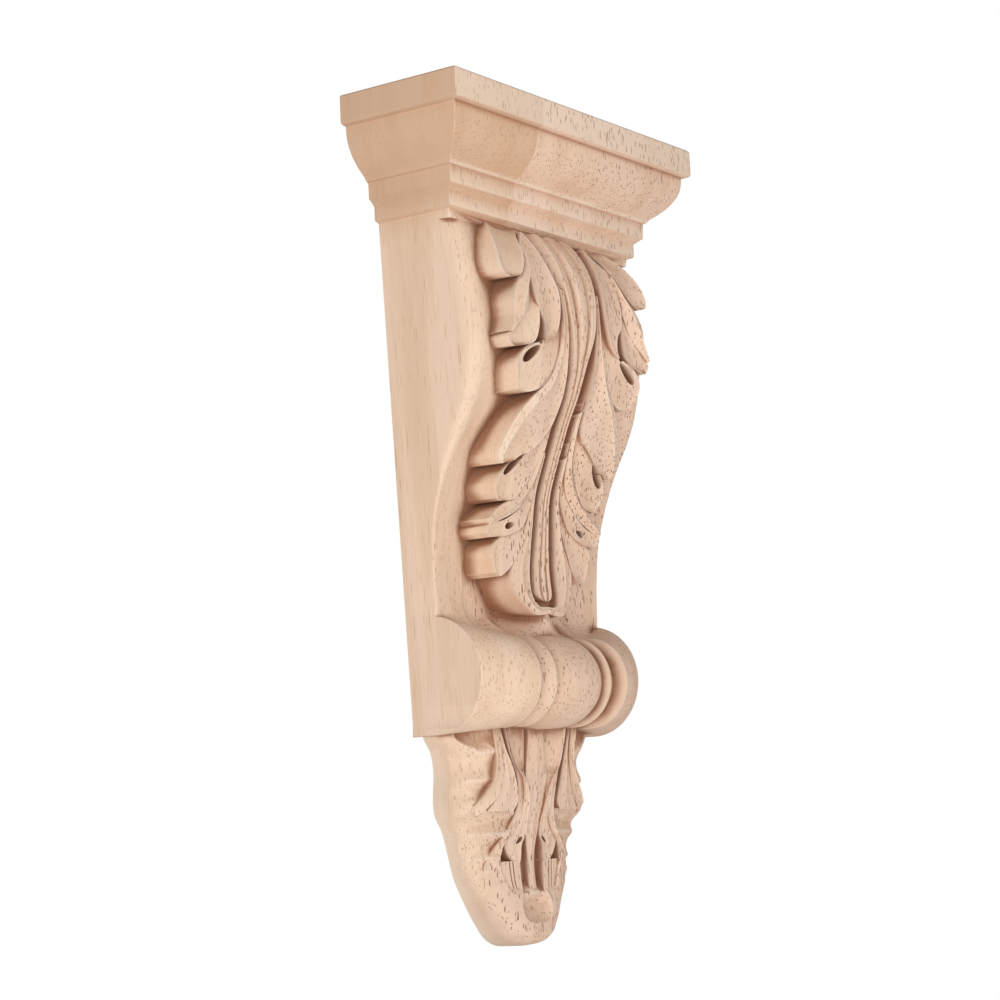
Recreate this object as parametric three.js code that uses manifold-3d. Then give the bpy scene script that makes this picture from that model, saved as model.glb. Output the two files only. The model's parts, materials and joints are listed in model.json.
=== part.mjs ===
// A carved wooden corbel: one block of pale wood with a moulded cap, a tapering
// body faced with an acanthus leaf, a scroll across the foot and a smaller leaf
// running down to a plain rounded end. Millimetres, Z up, X along the wall,
// the face toward -Y and the flat back on y = 0, with the origin at its middle.

import * as THREE from 'three';
import Module from 'manifold-3d';

// Whole corbel
const HEIGHT = 300;
const TOP = HEIGHT / 2;
const WOOD_COLOUR = 0xe3c3a4;

// Moulded cap: rows of how far down and how far in from the cap's edge
const CAP = { halfWidth: 76.5, depth: 50.5, foot: 46 };
const CAP_EASE = 0.6;
const FASCIA_FOOT = 10.6;
const OVOLO = { top: 11, inset: 2.8, foot: 27.6, footInset: 12.4, fullness: 2.4, steps: 6 };
const UPPER_FILLET = { top: 29.2, foot: 35.4, inset: 14.4 };
const LOWER_FILLET = { top: 37.4, foot: 42.6, inset: 17.2 };
const CAP_NECK_INSET = 19.3;

// Body behind the leaf
const BODY = { top: 40, foot: 225.3, halfWidthTop: 57, halfWidthFoot: 49 };
const BODY_FACE = [[40, 27], [54, 32], [68, 34.6], [84, 37], [100, 37], [108, 34.4], [116, 30.4],
  [124, 25], [132, 21.2], [140, 18.2], [150, 15.8], [164, 14.2], [184, 13.8], [226, 13.8]];
const BODY_LEVELS = 18;
const SOFT_CORNER = { across: 8, back: 7 };
const CRISP_CORNER = { across: 1.6, back: 1.2 };
const CORNER_SOFT_UNTIL = 96;
const CORNER_CRISP_FROM = 146;
const CORNER_STEPS = 4;

// Scroll across the foot of the body
const SCROLL = { drop: 206.2, edgeX: 27, edgeRadius: 18.2, edgeAxis: 22.2, endDrop: 204.6,
  endRadius: 20.7, endAxis: 10.3 };
const DRUM = [[0, 18.4], [6, 18], [11, 16.9], [15.2, 15.2], [16.6, 14.8], [17.6, 17.5], [21, 16.3],
  [25.6, 15.4]];
const SCROLL_STEPS = 14;
const FLARE_STEPS = 3;
const FLARE_HOLLOW = 1.4;
const SADDLE = { halfWidth: 33, top: 176, foot: 191, reach: 25, steps: 4, corner: 15 };

// Part below the scroll: rows of drop, half width and how far it stands out
const TAIL = [[218, 44, 18.4], [226, 43.4, 18.4], [230, 40.2, 18.4], [237, 38.6, 18.2], [249, 39.5, 17.6],
  [253, 38.8, 17.2], [258, 35.4, 16.6], [265, 32.8, 16], [275, 29.4, 15.6], [284, 23.8, 16],
  [292, 17.6, 16.6], [297, 12.4, 15.6], [299.4, 7, 12.4], [300, 4, 9]];
const TAIL_SIDE_SHARE = 0.4;
const TAIL_STEPS = 5;
const SCOOPS = [228.4, 244.6, 256.4, 263.6, 270.6];
const SCOOP = { across: 8, back: 4.2, halfHeight: 2.5, steps: 3 };
const POCKET = { drop: 287, halfWidth: 8, halfHeight: 5.8, depth: 4.6, steps: 3 };

// Front of the upper leaf: how far it stands out at each drop
const LEAF_FACE = [[44, 33], [48, 37], [53, 40.4], [60, 43.6], [66, 45.2], [77, 46.4], [88, 46.4],
  [98, 45.2], [106, 42.8], [113, 39.6], [121, 36.4], [130, 32.8], [139, 29.8], [151, 27], [158, 25.4],
  [166, 23.6], [176, 23.6], [186, 26.5]];
const LEAF_ROOT_DEPTH = 10;
const LEAF_BED = { foot: 179, sink: 4.6, halfWidths: [[45, 34], [62, 29], [78, 21], [100, 20], [124, 18],
  [142, 18], [158, 16], [170, 12], [180, 8]] };

// Strokes of the upper leaf, right half seen from the front, each a cubic path
// of [out from the middle, drop], with its width, lift, hollow and tip
const UPPER_STROKES = {
  shoulder: { path: [[33, 45], [36.5, 51], [37.5, 58], [39, 67.5]], width: [20, 14.5], fullAt: 0.5,
    tip: 0.5, lift: [-3, -0.6], hollow: 2.2, tilt: -0.4 },
  sliver: { path: [[31, 53], [33, 66], [40, 74], [43.8, 88]], width: [3.5, 6.6], fullAt: 0.5,
    tip: 0.9, lift: [0.6, 0.4], hollow: -1.2, tilt: -0.6 },
  hookOuter: { path: [[28, 54], [30, 72], [33, 84], [43.5, 88.2]], width: [6, 9.5], fullAt: 0.66,
    tip: 0.6, lift: [-1.2, 0], hollow: 1.2, tilt: 0 },
  hookInner: { path: [[23, 48], [23.5, 62], [18, 76], [25, 88.5]], width: [9, 10.5], fullAt: 0.55,
    tip: 0.6, lift: [-0.6, 0.4], hollow: 1, tilt: -0.4 },
  round: { path: [[15, 58], [14, 84], [20, 98], [38.8, 98.8]], width: [5, 16], fullAt: 0.72,
    tip: 0.5, lift: [-1.6, -0.8], hollow: 1.6, tilt: 0.4 },
  long: { path: [[14, 66], [11, 92], [15, 112], [37.5, 130.5]], width: [4, 14.5], fullAt: 0.58,
    tip: 0.85, lift: [-0.8, 0.6], hollow: -1.6, tilt: -0.6 },
  secondRound: { path: [[10.5, 88], [9.5, 116], [12, 135], [33.4, 137]], width: [3.6, 12.6],
    fullAt: 0.78, tip: 0.5, lift: [-1.2, -0.6], hollow: 1.3, tilt: 0.4 },
  secondLong: { path: [[9.5, 104], [9.5, 128], [15, 142], [36, 151]], width: [3, 7.6], fullAt: 0.6,
    tip: 0.85, lift: [-0.6, 0.6], hollow: -1.2, tilt: -0.5 },
  lowRound: { path: [[8.5, 118], [9, 142], [17, 152], [35.5, 153.4]], width: [3.4, 7.6], fullAt: 0.75,
    tip: 0.5, lift: [-0.8, -0.6], hollow: 1, tilt: 0.3 },
  lastRound: { path: [[8, 126], [8.5, 148], [16, 160], [29.5, 163.4]], width: [3.2, 12], fullAt: 0.78,
    tip: 0.5, lift: [-0.8, -0.8], hollow: 1.2, tilt: 0 },
  point: { path: [[6.5, 122], [7, 146], [18, 166], [10.2, 184.2]], width: [3.4, 10], fullAt: 0.66,
    tip: 0.6, lift: [-0.6, 0.6], hollow: 1.2, tilt: 0.5 },
};
const UPPER_MIDRIB = { path: [[0, 45], [0, 86], [0, 128], [0, 176]], width: [25, 7], fullAt: 0.55,
  tip: 0.9, lift: [-0.4, -0.4], hollow: -3.4, tilt: 0 };

// Strokes of the lower leaf
const TAIL_LEAF_SINK = 9;
const LOWER_STROKES = {
  outer: { path: [[29, 220], [31, 230], [31, 240], [36.4, 251.5]], width: [11, 12], fullAt: 0.5,
    tip: 0.9, lift: [0.8, 0.4], hollow: 2, tilt: 0 },
  middle: { path: [[21, 219], [20.5, 234], [19, 247], [33.5, 254]], width: [6, 10], fullAt: 0.66,
    tip: 0.75, lift: [1.2, 1], hollow: 1.4, tilt: 0 },
  band: { path: [[17.5, 219], [11, 236], [8, 250], [15.5, 270.5]], width: [4, 8.6], fullAt: 0.76,
    tip: 0.6, lift: [1.6, 1.4], hollow: 1, tilt: 0.3 },
  sweep: { path: [[16, 240], [15, 252], [20, 262], [28.5, 272]], width: [3, 6.4], fullAt: 0.5,
    tip: 0.9, lift: [0.8, 0.6], hollow: 0.8, tilt: 0 },
  endOuter: { path: [[13, 264], [15, 270], [15.4, 276], [11, 283]], width: [4, 6], fullAt: 0.4,
    tip: 0.8, lift: [0.6, 0.6], hollow: 0.8, tilt: 0 },
  endInner: { path: [[6, 254], [8.4, 264], [8, 274], [4, 283]], width: [3, 5.4], fullAt: 0.5,
    tip: 0.8, lift: [1, 0.8], hollow: 0.8, tilt: 0 },
};
const LOWER_MIDRIB = { path: [[0, 219], [0, 236], [0, 258], [0, 282]], width: [12, 13.6], fullAt: 0.32,
  tip: 0.55, lift: [1.6, 1.4], hollow: -1.6, tilt: 0 };

const STROKE_STEPS = 9;
const STROKE_COLUMNS = 4;
const BLUNT_TIP = 0.9;

// Dark eyes left between the lobes: where each starts and ends, and its width
const EYE_STEPS = 7;
const EYES = [
  { from: [25, 90.4], to: [36, 96.4], width: 5 },
  { from: [26.6, 76.5], to: [27.4, 88.5], width: 3.6 },
  { from: [21.5, 127.2], to: [30.8, 133.8], width: 3.6 },
  { from: [19.4, 151.4], to: [24.6, 152.6], width: 3 },
];
const LOWER_EYES = [
  { from: [14.6, 235.4], to: [16.4, 242.4], width: 2.8 },
  { from: [16.4, 269.6], to: [21, 265.4], width: 3 },
];

const lerp = (a, b, t) => a + (b - a) * t;
const clamp01 = (t) => Math.min(1, Math.max(0, t));
const smooth = (t) => t * t * (3 - 2 * t);
const range = (count) => Array.from({ length: count }, (_, i) => i);

// Reads a smooth curve through rows of [place, value, ...] at one place
function along(rows, place, column = 1) {
  let i = 0;
  while (i < rows.length - 2 && place > rows[i + 1][0]) {
    i += 1;
  }
  const slope = (a, b) => (rows[b][column] - rows[a][column]) / (rows[b][0] - rows[a][0]);
  const tangent = (k) => (k === 0 ? slope(0, 1)
    : k === rows.length - 1 ? slope(k - 1, k) : (slope(k - 1, k) + slope(k, k + 1)) / 2);
  const span = rows[i + 1][0] - rows[i][0];
  const t = clamp01((place - rows[i][0]) / span);
  const rise = rows[i + 1][column] - rows[i][column];
  const start = tangent(i) * span;
  const end = tangent(i + 1) * span;
  return rows[i][column] + start * t + (3 * rise - 2 * start - end) * t * t
    + (start + end - 2 * rise) * t * t * t;
}

const wasm = await Module();
wasm.setup();

// Joins rings of equally many points into one closed body, flat at both ends
function loft(rings) {
  const count = rings[0].length;
  const points = rings.flat();
  const faces = [];
  for (const r of range(rings.length - 1)) {
    for (const k of range(count)) {
      const a = r * count + k;
      const b = r * count + ((k + 1) % count);
      faces.push([a, b, b + count], [a, b + count, a + count]);
    }
  }
  for (const [ring, turned] of [[0, true], [rings.length - 1, false]]) {
    const hub = points.length;
    const sum = rings[ring].reduce((s, p) => [s[0] + p[0], s[1] + p[1], s[2] + p[2]], [0, 0, 0]);
    points.push(sum.map((v) => v / count));
    for (const k of range(count)) {
      const a = ring * count + k;
      const b = ring * count + ((k + 1) % count);
      faces.push(turned ? [b, a, hub] : [a, b, hub]);
    }
  }
  return solid(points, faces);
}

// Makes a solid of points and faces, turned inside out if it encloses less than nothing
function solid(points, faces) {
  const volume = faces.reduce((sum, [a, b, c]) => {
    const [p, q, r] = [points[a], points[b], points[c]];
    return sum + p[0] * (q[1] * r[2] - q[2] * r[1]) + p[1] * (q[2] * r[0] - q[0] * r[2])
      + p[2] * (q[0] * r[1] - q[1] * r[0]);
  }, 0);
  const outward = volume > 0 ? faces : faces.map(([a, b, c]) => [a, c, b]);
  return new wasm.Manifold(new wasm.Mesh({
    numProp: 3,
    vertProperties: Float32Array.from(points.flat()),
    triVerts: Uint32Array.from(outward.flat()),
  }));
}

// One level of the cap: a plain rectangle set in from the cap's edge
function capRing(drop, inset) {
  const x = CAP.halfWidth - inset;
  const y = inset - CAP.depth;
  const z = TOP - drop;
  return [[-x, 0, z], [-x, y, z], [x, y, z], [x, 0, z]];
}

function cap() {
  const rings = [capRing(0, CAP_EASE), capRing(CAP_EASE, 0), capRing(FASCIA_FOOT - CAP_EASE, 0),
    capRing(FASCIA_FOOT, CAP_EASE), capRing(OVOLO.top, OVOLO.inset)];
  for (const k of range(OVOLO.steps)) {
    const t = (k + 1) / OVOLO.steps;
    rings.push(capRing(lerp(OVOLO.top, OVOLO.foot, t),
      lerp(OVOLO.inset, OVOLO.footInset, t ** OVOLO.fullness)));
  }
  for (const fillet of [UPPER_FILLET, LOWER_FILLET]) {
    rings.push(capRing(fillet.top, fillet.inset), capRing(fillet.foot, fillet.inset));
  }
  rings.push(capRing(LOWER_FILLET.foot + 0.5, CAP_NECK_INSET), capRing(CAP.foot, CAP_NECK_INSET + 0.4));
  return loft(rings);
}

const bodyHalfWidth = (drop) => lerp(BODY.halfWidthTop, BODY.halfWidthFoot,
  (drop - CAP.foot) / (BODY.foot - CAP.foot));

// A level through the block: flat back and sides, the front corners rounded
function blockRing(drop, halfWidth, face, across, back, steps) {
  const z = TOP - drop;
  const left = range(steps + 1).map((k) => {
    const turn = (k / steps) * Math.PI / 2;
    return [-(halfWidth - across * (1 - Math.cos(turn))), -(face - back * (1 - Math.sin(turn))), z];
  });
  const right = left.map(([x, y]) => [-x, y, z]).reverse();
  return [[-halfWidth, 0, z], ...left, ...right, [halfWidth, 0, z]];
}

function body() {
  const rings = range(BODY_LEVELS + 1).map((k) => {
    const drop = lerp(BODY.top, BODY.foot, k / BODY_LEVELS);
    const crisp = smooth(clamp01((drop - CORNER_SOFT_UNTIL) / (CORNER_CRISP_FROM - CORNER_SOFT_UNTIL)));
    const across = lerp(SOFT_CORNER.across, CRISP_CORNER.across, crisp);
    const back = lerp(SOFT_CORNER.back, CRISP_CORNER.back, crisp);
    return blockRing(drop, bodyHalfWidth(drop), along(BODY_FACE, drop), across, back, CORNER_STEPS);
  });
  return loft(rings);
}

// A level across the scroll at one x: a round front running straight back to the wall
function scrollRing(x, axis, drop, radius, flush) {
  const front = range(SCROLL_STEPS + 1).map((k) => {
    const turn = (k / SCROLL_STEPS) * Math.PI;
    return [-(axis + radius * Math.sin(turn)), drop - radius * Math.cos(turn)];
  });
  const outline = [[0, drop - radius], ...front, [0, drop + radius]];
  return outline.map(([y, d]) => [flush ? Math.sign(x) * bodyHalfWidth(d) : x, y, TOP - d]);
}

function scroll() {
  const half = DRUM.map(([x, radius]) => [x, SCROLL.edgeAxis, SCROLL.drop, radius, false]);
  for (const k of range(FLARE_STEPS + 1)) {
    const t = k / FLARE_STEPS;
    const shift = t ** FLARE_HOLLOW;
    half.push([lerp(SCROLL.edgeX, bodyHalfWidth(SCROLL.drop), t), lerp(SCROLL.edgeAxis, SCROLL.endAxis, shift),
      lerp(SCROLL.drop, SCROLL.endDrop, shift), lerp(SCROLL.edgeRadius, SCROLL.endRadius, shift),
      k === FLARE_STEPS]);
  }
  const mirrored = half.slice(1).reverse().map(([x, ...rest]) => [-x, ...rest]);
  return loft([...mirrored, ...half].map((row) => scrollRing(...row)));
}

// The hollow sweep that carries the ground of the leaf out on to the scroll
function saddle() {
  const levels = range(SADDLE.steps + 1).map((k) => {
    const t = k / SADDLE.steps;
    const drop = lerp(SADDLE.top, SADDLE.foot, t);
    const start = along(BODY_FACE, drop) - 1;
    const face = lerp(start, SADDLE.reach, 1 - Math.sqrt(1 - t * t));
    return blockRing(drop, SADDLE.halfWidth, face, SADDLE.corner, Math.max(0.4, face - start), 3);
  });
  return loft(levels);
}

// How far the part below the scroll stands out at a drop, less toward its sides
function tailFace(drop, x = 0) {
  const share = Math.min(1, Math.abs(x) / along(TAIL, drop));
  return along(TAIL, drop, 2) * lerp(TAIL_SIDE_SHARE, 1, Math.sqrt(1 - share ** 3));
}

function tail() {
  return loft(TAIL.map(([drop, halfWidth, face]) => {
    const z = TOP - drop;
    const left = range(TAIL_STEPS + 1).map((k) => {
      const turn = (k / TAIL_STEPS) * Math.PI / 2;
      return [-halfWidth * Math.cos(turn) ** (2 / 3), -face * lerp(TAIL_SIDE_SHARE, 1, Math.sin(turn)), z];
    });
    const right = left.slice(0, -1).map(([x, y]) => [-x, y, z]).reverse();
    return [[-halfWidth, 0, z], ...left, ...right, [halfWidth, 0, z]];
  }));
}

// Rings of a round hollow cut from the front, its mouth open toward -Y
function hollow(x, front, drop, { halfWidth, halfHeight, depth, steps }) {
  const levels = range(steps).map((k) => [front - (k / steps) * depth, Math.sqrt(1 - (k / steps) ** 2)]);
  return loft([[front + 8, 1], ...levels].map(([y, size]) => range(EYE_STEPS + 2).map((k) => {
    const turn = (k / (EYE_STEPS + 2)) * 2 * Math.PI;
    return [x + Math.sin(turn) * halfWidth * size, -y, TOP - drop + Math.cos(turn) * halfHeight * size];
  })));
}

// The hollow at the foot of the lower leaf, above the plain rounded end
const pocket = () => hollow(0, tailFace(POCKET.drop), POCKET.drop, POCKET);

// Soft scoops that run from the lower leaf out over the corners of the sides
function scoops() {
  return SCOOPS.flatMap((drop) => [1, -1].map((side) => {
    const x = along(TAIL, drop) * 0.84;
    const size = { halfWidth: SCOOP.across, halfHeight: SCOOP.halfHeight, depth: SCOOP.back, steps: SCOOP.steps };
    return hollow(side * x, tailFace(drop, x) + 1, drop, size);
  }));
}

// A point on a cubic path and the way across it
function onPath(path, t) {
  const u = 1 - t;
  const weights = [u * u * u, 3 * u * u * t, 3 * u * t * t, t * t * t];
  const slopes = [-3 * u * u, 3 * u * u - 6 * u * t, 6 * u * t - 3 * t * t, 3 * t * t];
  const mix = (w, axis) => path.reduce((sum, p, i) => sum + p[axis] * w[i], 0);
  const [dx, dd] = [mix(slopes, 0), mix(slopes, 1)];
  const length = Math.hypot(dx, dd);
  return { x: mix(weights, 0), drop: mix(weights, 1), outX: dd / length, outDrop: -dx / length };
}

function strokeWidth({ width: [root, full], fullAt, tip }, t) {
  if (t < fullAt) {
    return lerp(root, full, smooth(t / fullAt));
  }
  const closing = (1 - ((t - fullAt) / (1 - fullAt)) ** 2) ** tip;
  return Math.max(BLUNT_TIP, full * closing);
}

// One gouge stroke: the face between two edges, walled straight back into the block
function stroke(shape, face, rootDepth, side) {
  const front = [];
  const back = [];
  for (const i of range(STROKE_STEPS + 1)) {
    const t = i / STROKE_STEPS;
    const at = onPath(shape.path, t);
    const half = strokeWidth(shape, t) / 2;
    const fade = Math.min(1, (2 * half) / shape.width[1]);
    for (const j of range(STROKE_COLUMNS + 1)) {
      const s = (j / STROKE_COLUMNS) * 2 - 1;
      const x = side * (at.x + at.outX * s * half);
      const drop = at.drop + at.outDrop * s * half;
      const lift = lerp(...shape.lift, t) + (shape.hollow * (s * s - 0.5) + shape.tilt * s) * fade;
      front.push([x, -(face(drop, x) + lift), TOP - drop]);
      back.push([x, -(face(drop, x) - rootDepth), TOP - drop]);
    }
  }
  const columns = STROKE_COLUMNS + 1;
  const faces = [];
  const offset = front.length;
  const quad = (a, b, c, d) => faces.push([a, b, c], [a, c, d]);
  for (const i of range(STROKE_STEPS)) {
    for (const j of range(STROKE_COLUMNS)) {
      const a = i * columns + j;
      quad(a, a + columns, a + columns + 1, a + 1);
      quad(offset + a + 1, offset + a + columns + 1, offset + a + columns, offset + a);
    }
    const [l, r] = [i * columns, i * columns + STROKE_COLUMNS];
    quad(l, offset + l, offset + l + columns, l + columns);
    quad(r + columns, offset + r + columns, offset + r, r);
  }
  for (const j of range(STROKE_COLUMNS)) {
    const last = STROKE_STEPS * columns + j;
    quad(j + 1, offset + j + 1, offset + j, j);
    quad(last, offset + last, offset + last + 1, last + 1);
  }
  return solid([...front, ...back], faces);
}

// The sunk bed that closes the leaf between its strokes
function leafBed() {
  const { halfWidths, foot, sink } = LEAF_BED;
  const top = halfWidths[0][0];
  const steps = 12;
  return loft(range(steps + 1).map((k) => {
    const drop = lerp(top, foot, k / steps);
    return blockRing(drop, along(halfWidths, drop), along(LEAF_FACE, drop) - sink, 3, 2, 2);
  }));
}

// A leaf-shaped hole between lobes, cut from the front down to the ground
function eye({ from, to, width }, front, floor, side) {
  const length = Math.hypot(to[0] - from[0], to[1] - from[1]);
  const [ux, ud] = [(to[0] - from[0]) / length, (to[1] - from[1]) / length];
  const outline = range(EYE_STEPS).map((k) => {
    const turn = (k / EYE_STEPS) * 2 * Math.PI;
    const run = (0.5 - Math.cos(turn) / 2) * length;
    const out = Math.sin(turn) * (width / 2) * (0.55 + 0.45 * (run / length));
    return [side * (from[0] + ux * run - ud * out), from[1] + ud * run + ux * out];
  });
  return loft([front, floor].map((y) => outline.map(([x, d]) => [x, -y, TOP - d])));
}

function leaf(strokes, midrib, face, rootDepth) {
  const pieces = [stroke(midrib, face, rootDepth, 1)];
  for (const shape of Object.values(strokes)) {
    pieces.push(stroke(shape, face, rootDepth, 1), stroke(shape, face, rootDepth, -1));
  }
  return pieces;
}

function geometryOf(shape) {
  const { vertProperties, triVerts, numProp } = shape.getMesh();
  const positions = new Float32Array((vertProperties.length / numProp) * 3);
  for (const i of range(positions.length / 3)) {
    for (const axis of range(3)) {
      positions[i * 3 + axis] = vertProperties[i * numProp + axis];
    }
  }
  const geometry = new THREE.BufferGeometry();
  geometry.setAttribute('position', new THREE.BufferAttribute(positions, 3));
  geometry.setIndex(new THREE.BufferAttribute(Uint32Array.from(triVerts), 1));
  geometry.computeVertexNormals();
  return geometry;
}

function corbel() {
  const leafFace = (drop) => along(LEAF_FACE, drop);
  const leafDepth = LEAF_ROOT_DEPTH + 8;
  const eyes = EYES.flatMap((row) => [1, -1].map((side) => (
    eye(row, 60, along(BODY_FACE, (row.from[1] + row.to[1]) / 2) - 1, side))));
  const upper = [leafBed(), ...leaf(UPPER_STROKES, UPPER_MIDRIB, leafFace, leafDepth)];
  const carved = wasm.Manifold.union(upper).subtract(wasm.Manifold.union(eyes));
  const lowEyes = LOWER_EYES.flatMap((row) => [1, -1].map((side) => eye(row, 30, 12, side)));
  const lower = [tail(), ...leaf(LOWER_STROKES, LOWER_MIDRIB, tailFace, TAIL_LEAF_SINK)];
  const cuts = wasm.Manifold.union([...lowEyes, ...scoops(), pocket()]);
  const foot = wasm.Manifold.union(lower).subtract(cuts);
  return wasm.Manifold.union([cap(), body(), scroll(), saddle(), carved, foot]);
}

const wood = new THREE.MeshStandardMaterial({ color: WOOD_COLOUR, roughness: 0.72, metalness: 0 });
wood.name = 'raw_wood';

const whole = new THREE.Mesh(geometryOf(corbel()), wood);
whole.name = 'corbel';

const part = new THREE.Group();
part.name = 'corbel_bracket';
part.add(whole);

export default part;
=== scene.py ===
"""The looks of a carved wooden corbel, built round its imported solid.

Sizes are in millimetres, as a carver reads them off the block, and MM turns them into metres.
"out" is sideways from the middle, "drop" is down from the top of the cap, and "face" is how far
the wood stands out from the wall.
"""

import json
import logging
import math
from collections.abc import Callable, Iterator
from dataclasses import dataclass
from enum import Enum

import bmesh
import bpy
from mathutils import Matrix, Vector
from mathutils.bvhtree import BVHTree

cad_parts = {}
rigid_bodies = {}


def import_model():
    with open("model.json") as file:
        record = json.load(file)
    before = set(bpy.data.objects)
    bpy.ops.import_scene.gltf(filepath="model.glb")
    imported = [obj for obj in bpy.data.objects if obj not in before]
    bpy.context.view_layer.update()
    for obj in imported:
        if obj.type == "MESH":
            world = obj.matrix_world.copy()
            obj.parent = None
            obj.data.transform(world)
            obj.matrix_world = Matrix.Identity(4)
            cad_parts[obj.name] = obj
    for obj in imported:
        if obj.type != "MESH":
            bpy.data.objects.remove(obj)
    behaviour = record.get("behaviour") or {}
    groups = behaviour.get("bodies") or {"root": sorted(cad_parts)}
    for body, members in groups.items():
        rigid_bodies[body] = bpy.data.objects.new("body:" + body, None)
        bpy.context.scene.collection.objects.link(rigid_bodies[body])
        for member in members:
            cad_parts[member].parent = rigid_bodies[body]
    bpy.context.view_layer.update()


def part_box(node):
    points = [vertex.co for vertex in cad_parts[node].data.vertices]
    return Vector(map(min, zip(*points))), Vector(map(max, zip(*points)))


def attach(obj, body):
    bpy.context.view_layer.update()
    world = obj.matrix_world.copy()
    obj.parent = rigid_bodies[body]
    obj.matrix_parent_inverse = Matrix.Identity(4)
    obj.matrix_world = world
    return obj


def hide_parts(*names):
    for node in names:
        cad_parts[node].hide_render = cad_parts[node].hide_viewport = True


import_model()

MM = 0.001
NODE = "corbel"
SLOT = "raw_wood"
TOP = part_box(NODE)[1][2] / MM

Pair = tuple[float, float]
Point = tuple[float, float, float]
Edge = tuple[Pair, ...]
Block = bmesh.types.BMesh
Vert = bmesh.types.BMVert
Socket = bpy.types.NodeSocket
Colour = tuple[int, int, int]
Face = Callable[[float, float], float]
log = logging.getLogger("corbel")


def mix(start: float, end: float, share: float) -> float:
    """Returns the value a share of the way from start to end."""
    return start + (end - start) * share


def clamp(value: float) -> float:
    """Returns the value held between 0 and 1."""
    return min(1.0, max(0.0, value))


def ease(share: float) -> float:
    """Returns a share that starts and stops gently."""
    share = clamp(share)
    return share * share * (3 - 2 * share)


@dataclass(frozen=True)
class Rail:
    """A smooth curve through rows of place and value."""

    rows: tuple[Pair, ...]

    def slope(self, row: int) -> float:
        """Returns the slope of the straight line from a row to the next."""
        (place, value), (next_place, next_value) = self.rows[row], self.rows[row + 1]
        return (next_value - value) / (next_place - place)

    def tangent(self, row: int) -> float:
        """Returns the curve's slope at a row."""
        last = len(self.rows) - 1
        if row in (0, last):
            return self.slope(min(row, last - 1))
        return (self.slope(row - 1) + self.slope(row)) / 2

    def at(self, place: float) -> float:
        """Reads the curve.

        Args:
            place: Where to read it.

        Returns:
            The value there, or the end value beyond either end.
        """
        row = 0
        while row < len(self.rows) - 2 and place > self.rows[row + 1][0]:
            row += 1
        span = self.rows[row + 1][0] - self.rows[row][0]
        share = clamp((place - self.rows[row][0]) / span)
        rise = self.rows[row + 1][1] - self.rows[row][1]
        start, end = self.tangent(row) * span, self.tangent(row + 1) * span
        bend = 3 * rise - 2 * start - end
        twist = start + end - 2 * rise
        return self.rows[row][1] + share * (start + share * (bend + share * twist))


class Work(Enum):
    """What a block of wood is for: to be joined to the corbel or to be cut away from it."""

    JOIN = "UNION"
    CUT = "DIFFERENCE"


def sheet(columns: int, rows: int, place: Callable[[float, float], Point]) -> Block:
    """Makes an open sheet of wood.

    Args:
        columns: How many steps it has across.
        rows: How many steps it has along.
        place: Gives a point from its shares across and along, each from 0 to 1.

    Returns:
        The sheet.
    """
    bm = bmesh.new()
    bmesh.ops.create_grid(bm, x_segments=columns, y_segments=rows, size=1)
    for vert in bm.verts:
        out, face, drop = place((vert.co.x + 1) / 2, (vert.co.y + 1) / 2)
        vert.co = (out, -face, TOP - drop)
    return bm


def push_back(bm: Block, floor: Callable[[Vector], float], layers: tuple[float, ...] = (1.0,)) -> Block:
    """Closes a sheet into a block by running its edges straight back.

    Args:
        bm: The sheet.
        floor: Gives the face of the block's back behind a point of the sheet.
        layers: The shares of the way back at which the walls have a row of points, the last one 1.

    Returns:
        The same mesh, closed.
    """
    faces, before = bm.faces[:], 0.0
    for share in layers:
        made = bmesh.ops.extrude_face_region(bm, geom=faces)["geom"]
        for vert in (item for item in made if isinstance(item, Vert)):
            vert.co.y = mix(vert.co.y, -floor(vert.co), (share - before) / (1 - before))
        if before:
            bmesh.ops.delete(bm, geom=faces, context="FACES")
        faces, before = [item for item in made if isinstance(item, bmesh.types.BMFace)], share
    bmesh.ops.recalc_face_normals(bm, faces=bm.faces[:])
    return bm


class Workbench:
    """Joins closed blocks of wood into one body and cuts others out of it."""

    def __init__(self) -> None:
        """Clears the bench."""
        self.heaps = {work: bpy.data.collections.new(work.name.lower()) for work in Work}
        for heap in self.heaps.values():
            bpy.context.scene.collection.children.link(heap)

    def lay(self, bm: Block, work: Work = Work.JOIN) -> None:
        """Puts a block on its heap.

        Args:
            bm: The closed block, which is freed here.
            work: Whether it is joined or cut.
        """
        mesh = bpy.data.meshes.new("block")
        bm.to_mesh(mesh)
        bm.free()
        self.heaps[work].objects.link(bpy.data.objects.new("block", mesh))

    def carve(self, name: str) -> bpy.types.Object:
        """Joins and cuts everything on the bench and clears it.

        Args:
            name: The name of the finished piece.

        Returns:
            The finished piece, still in millimetres, linked to the scene.
        """
        base = self.heaps[Work.JOIN].objects[0]
        self.heaps[Work.JOIN].objects.unlink(base)
        bpy.context.scene.collection.objects.link(base)
        for work, heap in self.heaps.items():
            step = base.modifiers.new(work.name, "BOOLEAN")
            step.operation = work.value
            step.operand_type = "COLLECTION"
            step.collection = heap
            step.solver = "MANIFOLD"
        mesh = bpy.data.meshes.new_from_object(base.evaluated_get(bpy.context.evaluated_depsgraph_get()))
        mesh.name = name
        for spent in [base, *(item for heap in self.heaps.values() for item in heap.objects)]:
            bpy.data.meshes.remove(spent.data)
        for heap in self.heaps.values():
            bpy.data.collections.remove(heap)
        piece = bpy.data.objects.new(name, mesh)
        bpy.context.scene.collection.objects.link(piece)
        return piece


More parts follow.
